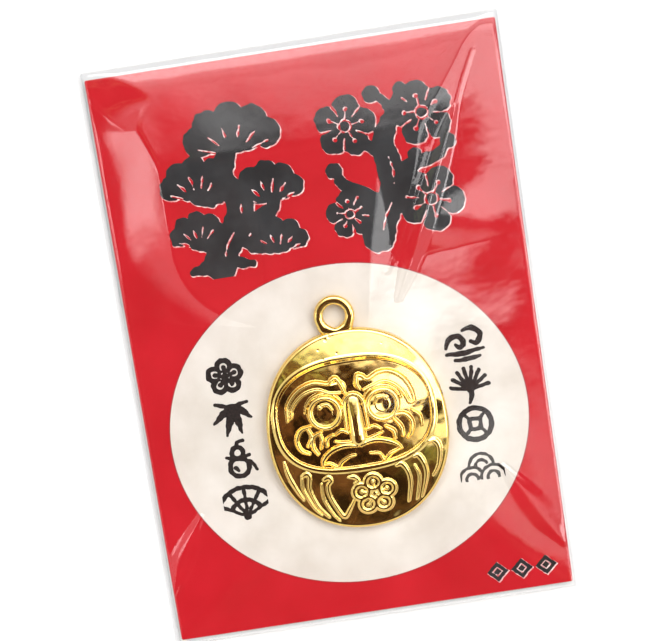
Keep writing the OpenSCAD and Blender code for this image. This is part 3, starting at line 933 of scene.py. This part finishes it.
def draw_lozenges(x, y):
    """Three small lozenges side by side, each with a lozenge cut out of it."""
    shape = np.full(x.shape, -9.0)
    for cx in LOZENGES:
        d = 1.35 - (np.abs(x - cx) / 1.05 + np.abs(y - LOZENGE_Y))
        shape = union(shape, cut(d, np.minimum(d - 0.66, 0.86 - d)) * 0.7)
    return shape + 0.03 * waves(x, y, 0.7, SEED + 6)


OVAL = {"x": 0.2, "y": -11.8, "a": 23.3, "b": 21.1}
OVAL_BOX = (-23.6, -33.4, 24.0, 9.8)
# Thickness of each layer of print, and how far the pale edge shows beside the foil: x, y, growth
OVAL_T, KEYLINE_T, INK_T, EDGE_T, FOIL_T = 0.013, 0.017, 0.008, 0.009, 0.012
EDGE_SHIFT = (0.09, -0.11, 0.05)


def oval_inside(x, y):
    share = oval_radius(x - OVAL["x"], y - OVAL["y"], OVAL["a"], OVAL["b"], 2.0)
    return (1 - share) * 22.0


def shifted(draw, dx, dy, grow):
    """A drawing moved aside and grown a little, for the pale edge under a stamped shape."""
    return lambda x, y: draw(x - dx, y - dy) + grow


def build_print(pale, ink, keyline, silver, foil):
    """Everything printed or stamped on the card's front."""
    oval = stamped("pale_oval", oval_inside, OVAL_BOX, CARD_TOP, OVAL_T, 0.25)
    dress(oval, pale, "card", "pale_print")
    outline = lambda x, y: 0.07 - np.abs(oval_inside(x, y))
    dress(stamped("oval_keyline", outline, OVAL_BOX, CARD_TOP, KEYLINE_T, 0.11), keyline, "card", "dark_foil")
    for name, cx, marks in COLUMNS:
        box = (cx - 3, min(marks) - 3, cx + 3, max(marks) + 3)
        draw = lambda x, y, cx=cx, marks=marks: draw_column(x, y, cx, marks)
        dress(stamped(name, draw, box, CARD_TOP + OVAL_T, INK_T, 0.06), ink, "card", "dark_foil")
    shapes = (("pine", draw_pine, (-19.6, 9.6, -0.4, 32.2), 0.09),
              ("plum", draw_plum, (1.0, 9.4, 20.4, 32.2), 0.09),
              ("lozenges", draw_lozenges, (14.6, -36.2, 24.6, -32.4), 0.05))
    for name, draw, box, pitch in shapes:
        edge = stamped(name + "_edge", shifted(draw, *EDGE_SHIFT), box, CARD_TOP, EDGE_T, pitch)
        dress(edge, silver, "card", "pale_print")
        dress(stamped(name + "_foil", draw, box, CARD_TOP + EDGE_T, FOIL_T, pitch), foil, "card", "dark_foil")


# -------- the film

FILM_T = 0.06
EDGE_Z = 0.95
CROWN_Z = FILM_HIGH[2] - 0.03
FILM_R = 60.0
SPAN_SHARP, TOP_REACH = 18.0, 62.0
CARD_GAP, RELIEF_GAP = 0.04, 0.24
# Beside the left and right edges: how steep the film rises, what that gains inwards or upwards, its limit
LEFT_STEEP, LEFT_GAIN, RIGHT_STEEP, RIGHT_GAIN, SIDE_LIMIT = 0.2, 0.01, 0.16, 0.05, 2.2
# At the mouth: its height, a quick curve up, a steady slope, and a second slope that eases off
MOUTH_Z, MOUTH_CURVE, CURVE_LENGTH, MOUTH_SLOPE = 0.2, 0.45, 2, 0.05
SECOND_SLOPE, SECOND_LENGTH, SECOND_EASE = 0.07, 15.0, 5.0
MOUTH_BLEND = 0.1
# How the film curls down near its edges: width and drop
SIDE_CURL, MOUTH_CURL, BOTTOM_CURL = (0.75, 0.25), (3.0, 0.45), (0.8, 0.25)
# Shares of the charm's outline: where the film is lifted clear of it, and where its touch fades out
OVER_CHARM, TOUCH_FADE, TOUCH_UP = 1.03, (1.0, 1.2), 0.4
FILM_WAVES, FILM_PITCH, SKIRT_STEPS = 0.04, 0.26, 7
HALF_X = FILM_HIGH[0] - 0.02
TOP_Y = FILM_HIGH[1] - 0.04
BOTTOM_Y = low("sleeve_front")[1] + 0.04

# Sharp creases and soft bulges in the film: (height, path of x, y, half-width)
CREASES = [
    (0.14, [(22.6, 33.4, 0.2), (20.6, 29.4, 0.4), (19, 25.6, 0.3)]),
    (0.5, [(19.4, 26.8, 0.3), (17.5, 22.6, 1.2), (14.9, 16.6, 1.5), (11.8, 10, 1.5), (8.8, 4, 0.3)]),
    (0.08, [(15.4, 22, 0.1), (13, 17, 0.28), (10.4, 12, 0.28), (8, 7.6, 0.1)]),
    (0.06, [(13.4, 20.4, 0.1), (11.2, 15.6, 0.22), (9, 11.2, 0.1)]),
    (0.06, [(-25.8, 34.8, 0.1), (-23.6, 31.8, 0.3), (-22, 30.4, 0.1)]),
]
BULGES = [
    (0.34, [(-26, -30.6, 0.6), (-24, -26, 2), (-20.6, -20.6, 0.5)]),
    (0.12, [(25.6, -31.6, 0.6), (22.8, -26.4, 2.4), (19, -20, 0.5)]),
]


def side_rise(x, y):
    """How far the film rises from its left and right edges."""
    edge_x = HALF_X - np.abs(x)
    left = (LEFT_STEEP + LEFT_GAIN * edge_x) * (1 - 0.5 * step(29.5, 34, y))
    right = RIGHT_STEEP + RIGHT_GAIN * step(14, 34, y)
    return np.minimum(np.where(x < 0, left, right) * edge_x * step(-4, 14, y), SIDE_LIMIT)


def mouth_rise(y):
    """How high the film can be at each distance from the sleeve's mouth."""
    from_top = np.maximum(TOP_Y - y, 0)
    curve = MOUTH_Z + MOUTH_CURVE * (1 - np.exp(-from_top / CURVE_LENGTH)) + MOUTH_SLOPE * from_top
    return curve + SECOND_SLOPE * soft_min(from_top, SECOND_LENGTH, SECOND_EASE)


def film_span(x, y):
    """The film's height before its creases: stretched straight from the card's edges to the charm's crown."""
    dx, dy = x - CHARM_X, y - CHARM_Y
    reach = np.hypot(dx, dy) + 1e-6
    side = np.where(dx > 0, HALF_X - CHARM_X, HALF_X + CHARM_X)
    end = np.where(dy > 0, TOP_Y + TOP_REACH - CHARM_Y, CHARM_Y - BOTTOM_Y)
    ray = reach / oval_radius(dx, dy, side, end, SPAN_SHARP)
    rise = CROWN_Z - EDGE_Z
    contact = ray - np.sqrt(np.maximum(ray**2 - 2 * rise * FILM_R, 0))
    near = rise - reach**2 / (2 * FILM_R)
    far = rise - contact**2 / (2 * FILM_R) - contact / FILM_R * (reach - contact)
    span = np.maximum(np.where(reach < contact, near, far), side_rise(x, y))
    return EDGE_Z + soft_min(span, mouth_rise(y), MOUTH_BLEND)


def soft_min(a, b, blend):
    h = np.clip(0.5 + 0.5 * (b - a) / blend, 0, 1)
    return b + (a - b) * h - blend * h * (1 - h)


def shoulder(distance, width, drop):
    """How far the film curves down near one of its edges."""
    u = np.clip(1 - distance / width, 0, 1)
    return drop * (1 - np.sqrt(1 - u * u))


def film_top(x, y):
    """Height of the film's outer face."""
    z = film_span(x, y)
    for tall, path in CREASES:
        z += tall * np.clip(stroke(x, y, path, True), 0, 1)
    for tall, path in BULGES:
        z += tall * step(0, 1, stroke(x, y, path, True))
    edge_x = HALF_X - np.abs(x)
    z += FILM_WAVES * waves(x, y, 13.0, SEED + 8) * step(0, 5, np.minimum(edge_x, TOP_Y - np.abs(y)))
    z -= shoulder(edge_x, *SIDE_CURL)
    z -= shoulder(TOP_Y - y, *MOUTH_CURL)
    return z - shoulder(y - BOTTOM_Y, *BOTTOM_CURL)


def keep_clear(x, y, z):
    """Lifts the film off the card and the charm where it would touch them."""
    on_card = (np.abs(x) < CARD_HIGH[0] + 0.1) & (y < CARD_HIGH[1] + 0.1) & (y > CARD_LOW[1] - 0.1)
    z = np.where(on_card, np.maximum(z, CARD_TOP + FILM_T + CARD_GAP), z)
    lx, ly = x - CHARM_X, y - CHARM_Y
    inside = oval_radius(lx, ly, CHARM_W / 2, CHARM_H / 2, OUTLINE_POWER) < OVER_CHARM
    return np.where(inside, np.maximum(z, CHARM_Z + dome_height(lx, ly) + RELIEF_GAP + FILM_T), z)


def film_sheet(x, y, top, rim, inward):
    """One face of the film: its grid, then its edge hanging down in steps to the back film."""
    scale_x, scale_y = 1 - inward / HALF_X, 1 - inward / TOP_Y
    flat = np.column_stack([x.ravel() * scale_x, y.ravel() * scale_y, top.ravel() - inward])
    edge = flat[rim]
    drop = (BACK_FILM_TOP - edge[:, 2:]) * [0, 0, 1]
    return np.vstack([flat] + [edge + drop * (k / SKIRT_STEPS) for k in range(1, SKIRT_STEPS + 1)])


def build_film():
    """The front film: a fine sheet over the card and the charm, turned down at its edges."""
    cols = np.linspace(-HALF_X, HALF_X, int(2 * HALF_X / FILM_PITCH))
    rows = np.linspace(BOTTOM_Y, TOP_Y, int((TOP_Y - BOTTOM_Y) / FILM_PITCH))
    x, y = np.meshgrid(cols, rows)
    top = np.minimum(keep_clear(x, y, film_top(x, y)), FILM_HIGH[2] - 0.01)
    h, w = x.shape
    grid = np.arange(h * w).reshape(h, w)
    rim = np.concatenate([grid[0], grid[1:, -1], grid[-1, -2::-1], grid[-2:0:-1, 0]])
    sheets = [film_sheet(x, y, top, rim, inward) for inward in (0.0, FILM_T)]
    points = np.vstack(sheets)
    count, total = len(rim), len(sheets[0])
    loops = np.vstack([rim, np.arange(h * w, total).reshape(-1, count)])
    faces = np.stack([grid[:-1, :-1], grid[:-1, 1:], grid[1:, 1:], grid[1:, :-1]], axis=-1).reshape(-1, 4)
    turned = np.roll(loops, -1, axis=1)
    skirt = np.stack([loops[:-1], loops[1:], turned[1:], turned[:-1]], axis=-1).reshape(-1, 4)
    outer = np.vstack([faces, skirt])
    foot = np.column_stack([loops[-1], loops[-1] + total, turned[-1] + total, turned[-1]])
    film = mesh_object("film_front", points, np.vstack([outer, outer[:, ::-1] + total, foot]).tolist())
    px, py = points[:, 0] - CHARM_X, points[:, 1] - CHARM_Y - TOUCH_UP
    share = oval_radius(px, py, CHARM_W / 2, CHARM_H / 2, OUTLINE_POWER)
    touching = 1 - step(*TOUCH_FADE, share)
    film.data.attributes.new("touching", "FLOAT", "POINT").data.foreach_set("value", touching)
    return film


# -------- stage


# Tilt off straight down, the way it leans, and turn about its own axis, in degrees; lens, sensor, near limit
CAMERA_ANGLES, CAMERA_AWAY, CAMERA_TARGET = (9.5, 5.9, 8.8), 243.3, (-0.4, 2.1, 0.72)
CAMERA_LENS = (104.1, 36, 0.01)


def place_camera():
    """The camera at the photograph's angle."""
    tilt, lean, turn = (math.radians(a) for a in CAMERA_ANGLES)
    back = Vector((math.sin(tilt) * math.sin(lean), math.sin(tilt) * math.cos(lean), math.cos(tilt)))
    hint = Vector((math.sin(turn), math.cos(turn), 0))
    right = (-back).cross(hint).normalized()
    up = right.cross(-back)
    data = bpy.data.cameras.new("camera")
    data.lens, data.sensor_width, data.clip_start = CAMERA_LENS
    camera = put("camera", data)
    turned = Matrix((right, up, back)).transposed().to_4x4()
    camera.matrix_world = Matrix.Translation((Vector(CAMERA_TARGET) + back * CAMERA_AWAY) * MM) @ turned
    bpy.context.scene.camera = camera


# Soft boxes of light, in degrees from straight up: across, along, wide, tall, radiance, spin and softness
SOFT_BOXES = [
    (16, 33, 66, 50, 2.3, -14, 0.25),
    (16, 41, 76, 40, 3, 0, 0.12),
    (23, -0.7, 30, 14.2, 3.3, 8, 0.12),
    (-39, -3, 12, 12, 3.4, 0, 0.35),
    (43, -14.5, 30, 25, 5.5, 0, 0.12),
    (24, -18, 16, 9, 1.3, -12, 0.3),
    (4, 12.6, 16, 8, 0.8, 0, 0.2),
]
LEAFY_SPOTS = [(-18, 11, 20, 11, 1, 0, 0.3), (22, -22, 20, 18, 0.5, 0, 0.3)]
HORIZON = 0.08
# The dim ceiling: an ellipse by its middle and half-axes, as tangents of angles from straight up
DIM_CENTRE = (-0.09, -0.36, 0)
DIM_SIZE = (0.66, 0.84, 1000)
DIM_EDGE = (0.9, 1.15)
CEILING_DARK, CEILING_LIGHT = (0.03, 0.018, 0.013), (0.21, 0.105, 0.075)
ROOM, BACKDROP, LEAFY = (0.92, 0.9, 0.875), (0.93, 0.93, 0.93), (0.42, 0.5, 0.22)
LAMP_AT, LAMP_SIZE, LAMP_POWER = (0.75, 0.35, 0.62), 0.5, 1.2


def glow(tree, sky, across, along, wide, tall, radiance, spin, soft):
    """A soft-edged rectangle of light in the room, placed, sized and turned in degrees from straight up."""
    centre = [math.tan(math.radians(a)) for a in (across, along)]
    half = [math.tan(math.radians(a / 2)) for a in (wide, tall)]
    turn = (0, 0, math.radians(spin))
    inputs = {"Vector": sky, "Location": (*centre, 0), "Rotation": turn, "Scale": (*half, 1)}
    local = add(tree, "Mapping", inputs, vector_type="TEXTURE").outputs["Vector"]
    away = add(tree, "VectorMath", {0: local}, operation="ABSOLUTE").outputs[0]
    parts = add(tree, "SeparateXYZ", {"Vector": away}).outputs
    edges = [ramp(tree, parts[axis], 1, 0, 1 - soft, 1 + soft) for axis in (0, 1)]
    return combine(tree, "MULTIPLY", combine(tree, "MULTIPLY", *edges), radiance)


def glows(tree, sky, rows):
    """The sum of several soft-edged rectangles of light."""
    total = glow(tree, sky, *rows[0])
    for row in rows[1:]:
        total = combine(tree, "ADD", total, glow(tree, sky, *row))
    return total


def dim_share(tree, flat_sky):
    """1 in the dim part of the room, 0 outside it."""
    place = flat_sky
    for operation, amount in (("SUBTRACT", DIM_CENTRE), ("DIVIDE", DIM_SIZE)):
        place = add(tree, "VectorMath", {0: place, 1: amount}, operation=operation).outputs[0]
    length = add(tree, "VectorMath", {0: place}, operation="LENGTH").outputs["Value"]
    return ramp(tree, length, 1, 0, *DIM_EDGE)


def light_room():
    """A pale room round a dim ceiling, with large soft boxes beyond the card's top and right."""
    world = bpy.data.worlds.new("room")
    bpy.context.scene.world = world
    world.use_nodes = True
    tree = world.node_tree
    tree.nodes.clear()
    sky = add(tree, "TexCoord").outputs["Generated"]
    up = add(tree, "SeparateXYZ", {"Vector": sky}).outputs["Z"]
    above = combine(tree, "MAXIMUM", up, HORIZON)
    plane = add(tree, "CombineXYZ", {"X": above, "Y": above, "Z": above}).outputs["Vector"]
    flat_sky = add(tree, "VectorMath", {0: sky, 1: plane}, operation="DIVIDE").outputs[0]
    clutter = add(tree, "TexNoise", {"Vector": sky, "Scale": 7, "Detail": 4.0}).outputs["Fac"]
    ceiling = mix_color(tree, ramp(tree, clutter, 0, 1, 0.42, 0.68), CEILING_DARK, CEILING_LIGHT)
    room = mix_color(tree, dim_share(tree, flat_sky), ROOM, ceiling)
    lit = mix_color(tree, 1, room, glows(tree, flat_sky, SOFT_BOXES), "ADD")
    leaves = add(tree, "TexNoise", {"Vector": sky, "Scale": 24, "Detail": 3.0}).outputs["Fac"]
    mottled = ramp(tree, leaves, 0, 1, 0.44, 0.6)
    leafy = combine(tree, "MULTIPLY", glows(tree, flat_sky, LEAFY_SPOTS), mottled)
    lit = mix_color(tree, 1, lit, mix_color(tree, leafy, (0, 0, 0), LEAFY), "ADD")
    seen = add(tree, "LightPath").outputs["Is Camera Ray"]
    color = mix_color(tree, seen, lit, BACKDROP)
    surface_light = add(tree, "Background", {"Color": color, "Strength": 1.0}).outputs["Background"]
    add(tree, "OutputWorld", {"Surface": surface_light})


def add_fill_lamp():
    """A weak lamp low at the right, for soft shadows."""
    data = bpy.data.lights.new("fill_lamp", "AREA")
    data.size = LAMP_SIZE
    data.energy = LAMP_POWER
    away = Vector(LAMP_AT)
    turned = away.to_track_quat("Z", "Y").to_matrix().to_4x4()
    put("fill_lamp", data).matrix_world = Matrix.Translation(away) @ turned


def build_floor():
    """A wide pale tabletop just under the sleeve."""
    count, size, level = 24, 900.0, -0.02
    angles = np.linspace(0, TWO_PI, 64, endpoint=False)
    radii = np.geomspace(20, size, count)
    points = [(r * math.cos(a), r * math.sin(a), level) for r in radii for a in angles]
    faces = ring_faces(count, len(angles)) + [tuple(range(len(angles)))]
    floor = mesh_object("tabletop", points, faces)
    floor.data.materials.append(floor_material())


# -------- assembly

# See-through faces that one ray may cross; the films turn grey where a ray needs more
FILM_BOUNCES = 32

place_camera()
light_room()
add_fill_lamp()
build_floor()
bpy.context.scene.cycles.transparent_max_bounces = FILM_BOUNCES
bpy.context.scene.view_settings.view_transform = "Standard"

gold = gold_material()
dress(build_charm(), gold, "card", "gold_plate", "charm_casting")
dress(build_ring(), gold, "card", "gold_plate", "hanging_ring")
dress(build_card(), card_material(), "card", "printed_card", "backing_card")
build_print(pearl_material(), ink_material(), keyline_material(), silver_material(), foil_material())

film = build_film()
front_film = film_material("taut_clear_film", 6.0, 0.05, (0.997, 0.997, 0.997))
dress(film, front_film, "sleeve", "clear_film", "sleeve_front")
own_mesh(film)

back_film = film_material("back_clear_film", 9.0, 0.05, (0.993, 0.995, 0.997), 0.07, 1.25)
weld_film = film_material("welded_film", 0.5, 0.04, (0.98, 0.982, 0.985), 0.12, 1.25)
flap_film = film_material("flap_clear_film", 8.0, 0.08, (0.975, 0.98, 0.985), 0.09, 1.45)
tacky = film_material("tacky_strip", 0.7, 0.03, (0.95, 0.945, 0.92), 0.2, 1.3)
for node, material in (("sleeve_back", back_film), ("side_welds", weld_film), ("sleeve_flap", flap_film),
                       ("adhesive_strip", tacky), ("glue_dot", glue_material())):
    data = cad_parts[node].data
    data.materials.clear()
    data.materials.append(material)
